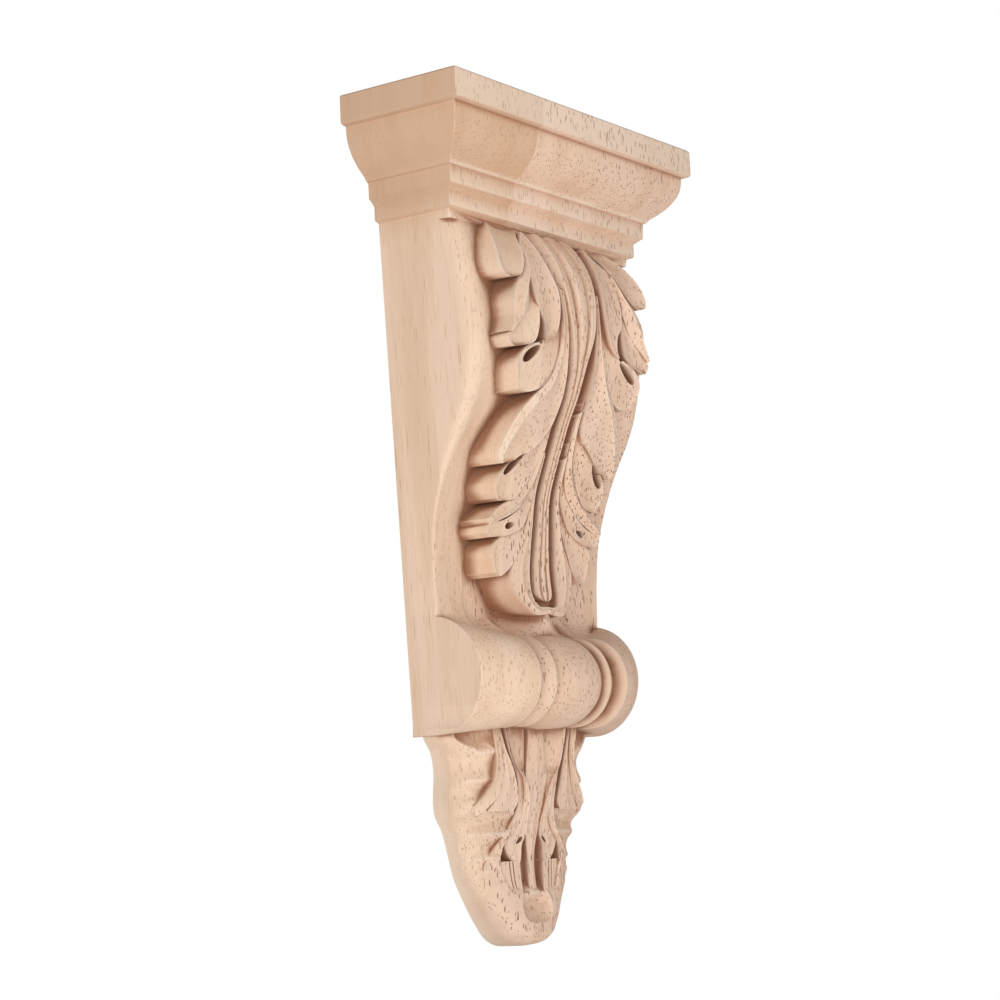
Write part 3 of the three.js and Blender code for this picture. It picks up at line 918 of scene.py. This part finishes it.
@dataclass(frozen=True)
class RawWood:
    """Raw pale hardwood: two planks, fine grain, open pores and the cutter's fine ridges."""

    pale: Colour = (236, 207, 181)
    pink: Colour = (231, 199, 175)
    broad_streak: Tint = Tint((206, 162, 126), 0.3, 0.42, 0.68)
    fine_streak: Tint = Tint((206, 162, 126), 0.5, 0.5, 0.78)
    # painted shade: a reddish brown laid into hollows, eyes and narrow grooves by how shut in each point is,
    # standing in for the shadow and bounced light inside them
    recess_shade: Tint = Tint((146, 90, 56), 0.82, 0.1, 0.44)
    pore: Colour = (104, 62, 42)
    hair: Colour = (206, 166, 132)
    # painted highlight: a paler tone along sharp convex crests, standing in for the light that catches the
    # edges
    crest_highlight: Colour = (242, 222, 202)
    crest_highlight_share: float = 0.5
    # a darker, browner tone laid over the top of the corbel down to the cap's foot, mostly left of the glue
    # line
    cap_tone: Colour = (190, 146, 112)
    cap_share: float = 0.75
    cap_foot: float = 44
    cap_fade: float = 8
    glue_line: float = -24
    glue_half_width: float = 0.3
    roughness: float = 0.72
    shine: float = 0.25
    wander_scale: float = 0.012
    grain_scale: Point = (1.4, 1.4, 0.022)
    grain_height: float = 0.08
    broad_scale: Point = (0.09, 0.09, 0.006)
    pores: tuple[Pores, Pores] = (Pores(0.8, 4.4, 0.23, 0), Pores(1, 9, 0.19, 37))
    hairs: tuple[Pores, Pores] = (Pores(0.8, 40, 0.15, 11, 0.14), Pores(1.3, 70, 0.14, 53, 0.14))
    pore_depth: float = 0.2
    pore_patches: tuple[Pair, Pair] = ((0.35, 0.5), (0.65, 1))
    pore_planks: tuple[Pair, Pair] = ((0, 0.4), (1, 0.95))
    pore_facing: Pair = (0.3, 0.7)
    ridge_pitch: float = 0.56
    ridge_height: float = 0.05
    ridge_facing: Pair = (0.9, 0.4)

    def base(self, nodes: Nodes, place: Socket, axes: bpy.types.Node, carved: Socket, plank: Socket,
             grain: Socket) -> Socket:
        """Makes the wood's colour, with painted shade in the hollows and a painted highlight on the crests,
        but without its pores.

        Args:
            nodes: The material's nodes.
            place: The point in millimetres.
            axes: The node that parts the point into X, Y and Z.
            carved: 1 on carved faces and 0 on flat ones.
            plank: 0 left of the glue line and 1 right of it.
            grain: The fine grain.

        Returns:
            The colour.
        """
        broad = nodes.noise(place, self.broad_scale, Detail=3.0)
        base = nodes.blend(plank, tone(*self.pale), tone(*self.pink))
        base = self.broad_streak.lay(nodes, broad, base)
        base = self.fine_streak.lay(nodes, grain, base)
        # darker and browner over the cap, mostly left of the glue line
        foot = TOP - self.cap_foot
        high = nodes.step(axes.outputs["Z"], foot - self.cap_fade, foot + self.cap_fade)
        high = nodes.scaled(high, nodes.step(plank, 1.3, -0.6))
        base = nodes.blend(nodes.scaled(high, self.cap_share), base, tone(*self.cap_tone))
        # painted shade in the hollows, by how shut in each point is
        base = self.recess_shade.lay(nodes, nodes.scaled(nodes.mark("shut"), carved), base)
        # painted highlight on the sharp crests
        crest_highlight = nodes.scaled(nodes.mark("crest_highlight"), carved)
        base = nodes.blend(nodes.scaled(crest_highlight, self.crest_highlight_share), base, tone(*self.crest_highlight))
        hairs = nodes.sum("MAXIMUM", *(hairs.mask(nodes, place) for hairs in self.hairs))
        return nodes.blend(nodes.scaled(hairs, nodes.step(carved, 1.4, -0.4)), base, tone(*self.hair))

    def material(self) -> bpy.types.Material:
        """Returns the finished material."""
        made = bpy.data.materials.new(SLOT)
        nodes = Nodes(made)
        local = nodes.add("TexCoord").outputs["Object"]
        place = nodes.add("VectorMath", {0: local, "Scale": 1 / MM}, operation="SCALE").outputs[0]
        axes = nodes.add("SeparateXYZ", {0: place})
        normal = nodes.add("SeparateXYZ", {0: nodes.add("NewGeometry").outputs["Normal"]})
        facing = nodes.sum("ABSOLUTE", normal.outputs["Y"])
        carved = nodes.mark("carved")
        grain = nodes.noise(place, self.grain_scale, Detail=5.0, Roughness=0.62)
        plank = nodes.step(axes.outputs["X"], self.glue_line - self.glue_half_width,
                           self.glue_line + self.glue_half_width)
        base = self.base(nodes, place, axes, carved, plank, grain)

        pores = nodes.sum("MAXIMUM", *(pores.mask(nodes, place) for pores in self.pores))
        wander = nodes.noise(place, self.wander_scale, Detail=2.0)
        pores = nodes.scaled(pores, nodes.ramp(wander, *self.pore_patches))
        shown = nodes.scaled(pores, nodes.step(facing, *self.pore_facing))
        shown = nodes.scaled(nodes.scaled(shown, nodes.ramp(plank, *self.pore_planks)), carved)

        phase = nodes.scaled(axes.outputs["Z"], 2 * math.pi / self.ridge_pitch)
        ridges = nodes.scaled(nodes.sum("SINE", phase), self.ridge_height / 2)
        ridges = nodes.scaled(ridges, nodes.scaled(nodes.step(facing, *self.ridge_facing), carved))
        height = nodes.sum("ADD", ridges, nodes.scaled(shown, -self.pore_depth))
        height = nodes.sum("ADD", height, nodes.scaled(grain, self.grain_height))
        bump = nodes.add("Bump", {"Height": height, "Distance": MM, "Strength": 1.0})

        shader = nodes.add("BsdfPrincipled", {
            "Base Color": nodes.blend(shown, base, tone(*self.pore)), "Roughness": self.roughness,
            "Normal": bump.outputs[0], "Specular IOR Level": self.shine})
        nodes.add("OutputMaterial", {"Surface": shader.outputs[0]})
        return made


@dataclass(frozen=True)
class Corbel:
    """The whole corbel, carved from one glued-up block."""

    cap: Cap = Cap()
    body: Body = Body()
    scroll: Scroll = Scroll()
    tail: Tail = Tail()
    upper_leaf: UpperLeaf = UpperLeaf()
    lower_leaf: LowerLeaf = LowerLeaf()
    finish: RawWood = RawWood()
    crease: float = 32
    feelers: int = 20
    feeler_lift: float = 0.05
    feeler_reach: float = 13
    feeler_spread: float = 0.9
    crest_reach: float = 3
    skin: float = 0.1
    side_skin: float = 0.2
    side_facing: float = 0.9

    def build(self) -> bpy.types.Object:
        """Builds the carving as one mesh.

        Returns:
            The finished piece.
        """
        bench = Workbench()
        self.body.build(bench, self.scroll)
        self.cap.build(bench)
        self.scroll.build(bench, self.body)
        self.tail.build(bench)
        self.upper_leaf.build(bench)
        self.lower_leaf.lay_parts(bench, self.tail.face)
        piece = bench.carve("carved_block")
        piece.data.shade_smooth()
        self.mark(piece.data)
        piece.data.transform(Matrix.Scale(MM, 4))
        piece.data.materials.clear()
        piece.data.materials.append(self.finish.material())
        piece.data.set_sharp_from_angle(angle=math.radians(self.crease))
        log.info("%s has %d faces", piece.name, len(piece.data.polygons))
        return piece

    def shut_in(self, tree: BVHTree, vert: Vert) -> float:
        """Works out how far the wood round a point shuts it in.

        Args:
            tree: The mesh, for casting rays.
            vert: The point.

        Returns:
            0 for a point with open air above it, rising towards 1 at the bottom of a narrow hole.
        """
        start = vert.co + vert.normal * self.feeler_lift
        shut = 0.0
        for number in range(self.feelers):
            height = 1 - (number + 0.5) / self.feelers * self.feeler_spread
            turn = number * math.pi * (3 - math.sqrt(5))
            flat = math.sqrt(1 - height * height)
            feeler = Vector((flat * math.cos(turn), flat * math.sin(turn), height))
            feeler.rotate(vert.normal.to_track_quat("Z", "Y"))
            distance = tree.ray_cast(start, feeler, self.feeler_reach)[3]
            shut += 0.0 if distance is None else 1 - distance / self.feeler_reach
        return shut / self.feelers

    def mark(self, mesh: bpy.types.Mesh) -> None:
        """Marks the carved faces, the points on a crest, which the finish paints with a highlight, and how
        shut in each point is, which it turns into painted shade.

        Args:
            mesh: The mesh, still in millimetres.
        """
        bm = bmesh.new()
        bm.from_mesh(mesh)
        carved = bm.faces.layers.float.new("carved")
        crest_highlight = bm.verts.layers.float.new("crest_highlight")
        shut = bm.verts.layers.float.new("shut")
        tree = BVHTree.FromBMesh(bm)
        # how shut in each point is, which the finish turns into painted shade in the hollows
        for vert in bm.verts:
            vert[shut] = self.shut_in(tree, vert)
        for face in bm.faces:
            middle = face.calc_center_median()
            far_out = abs(middle.x) > self.body.half_width(TOP - middle.z) - self.side_skin
            side = far_out and abs(face.normal.x) > self.side_facing
            flat = middle.y > -self.skin or middle.z > TOP - self.skin
            cap_side = middle.z > TOP - self.finish.cap_foot and abs(face.normal.x) > abs(face.normal.y)
            face[carved] = 0.0 if side or flat or cap_side else 1.0
            face.smooth = not side
        # points on sharp convex crests, which the finish paints with a highlight
        for edge in bm.edges:
            fine = edge.is_manifold and edge.calc_length() < self.crest_reach
            if fine and edge.calc_face_angle_signed() > math.radians(self.crease):
                for vert in edge.verts:
                    vert[crest_highlight] = 1.0
        bm.to_mesh(mesh)
        bm.free()


@dataclass(frozen=True)
class Lamp:
    """One soft square light that faces the corbel: where it hangs, its side and its watts."""

    name: str
    place: Point
    side: float
    power: float

    def hang(self) -> None:
        """Hangs the lamp."""
        data = bpy.data.lights.new(self.name, "AREA")
        data.size = self.side
        data.energy = self.power
        lamp = bpy.data.objects.new(self.name, data)
        lamp.location = self.place
        lamp.rotation_euler = (-Vector(self.place)).to_track_quat("-Z", "Y").to_euler()
        bpy.context.scene.collection.objects.link(lamp)


@dataclass(frozen=True)
class Studio:
    """A pale floor, soft lights and a camera at the photograph's viewing angle."""

    stand: Point = (-0.74226, -0.53564, -0.10834)
    yaw: float = -54.5256
    pitch: float = 7.4945
    roll: float = -2.6231
    lens: float = 90
    sensor: float = 36
    near: float = 0.01
    floor_height: float = -0.42
    floor_size: float = 1.6
    floor_tone: Colour = (252, 252, 252)
    floor_roughness: float = 0.9
    floor_glow: float = 0.1
    lamps: tuple[Lamp, ...] = (
        Lamp("key", (-1.35, -0.7, -0.3), 0.9, 14.5), Lamp("fill", (0.45, -1.6, -0.4), 1.2, 11))
    sky: float = 0.38

    def camera(self) -> None:
        """Sets up the camera."""
        data = bpy.data.cameras.new("camera")
        data.lens = self.lens
        data.sensor_width = self.sensor
        data.clip_start = self.near
        camera = bpy.data.objects.new("camera", data)
        yaw, pitch, roll = (math.radians(angle) for angle in (self.yaw, self.pitch, self.roll))
        ahead = Vector((-math.sin(yaw) * math.cos(pitch), math.cos(yaw) * math.cos(pitch), math.sin(pitch)))
        level = Vector((math.cos(yaw), math.sin(yaw), 0))
        upright = level.cross(ahead)
        right = level * math.cos(roll) + upright * math.sin(roll)
        up = upright * math.cos(roll) - level * math.sin(roll)
        turn = Matrix((right, up, -ahead)).transposed().to_4x4()
        camera.matrix_world = Matrix.Translation(self.stand) @ turn
        bpy.context.scene.collection.objects.link(camera)
        bpy.context.scene.camera = camera

    def floor(self) -> None:
        """Lays the floor, well below the corbel, which hangs on a wall."""
        bm = bmesh.new()
        bmesh.ops.create_grid(bm, x_segments=1, y_segments=1, size=self.floor_size / 2)
        bmesh.ops.translate(bm, verts=bm.verts[:], vec=(0, 0, self.floor_height))
        mesh = bpy.data.meshes.new("floor")
        bm.to_mesh(mesh)
        bm.free()
        floor = bpy.data.objects.new("floor", mesh)
        finish = bpy.data.materials.new("floor_white")
        nodes = Nodes(finish)
        shader = nodes.add("BsdfPrincipled", {
            "Base Color": tone(*self.floor_tone), "Roughness": self.floor_roughness,
            "Emission Color": (1, 1, 1, 1), "Emission Strength": self.floor_glow})
        nodes.add("OutputMaterial", {"Surface": shader.outputs[0]})
        mesh.materials.append(finish)
        bpy.context.scene.collection.objects.link(floor)

    def build(self) -> None:
        """Sets up the camera, the floor, the lights and the sky, which lights less than it shows."""
        self.camera()
        self.floor()
        for lamp in self.lamps:
            lamp.hang()
        world = bpy.data.worlds.new("sky")
        world.use_nodes = True
        tree = world.node_tree
        sky = tree.nodes["Background"]
        seen = tree.nodes.new("ShaderNodeLightPath").outputs["Is Camera Ray"]
        strength = tree.nodes.new("ShaderNodeMapRange")
        strength.inputs["To Min"].default_value = self.sky
        tree.links.new(seen, strength.inputs["Value"])
        tree.links.new(strength.outputs["Result"], sky.inputs["Strength"])
        sky.inputs["Color"].default_value = (1, 1, 1, 1)
        bpy.context.scene.world = world
        bpy.context.scene.view_settings.view_transform = "Standard"


def main() -> None:
    """Builds the studio and the corbel."""
    logging.basicConfig(level=logging.INFO, format="%(name)s: %(message)s")
    Studio().build()
    piece = Corbel().build()
    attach(piece, "root")
    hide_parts(NODE)


if __name__ == "__main__":
    main()
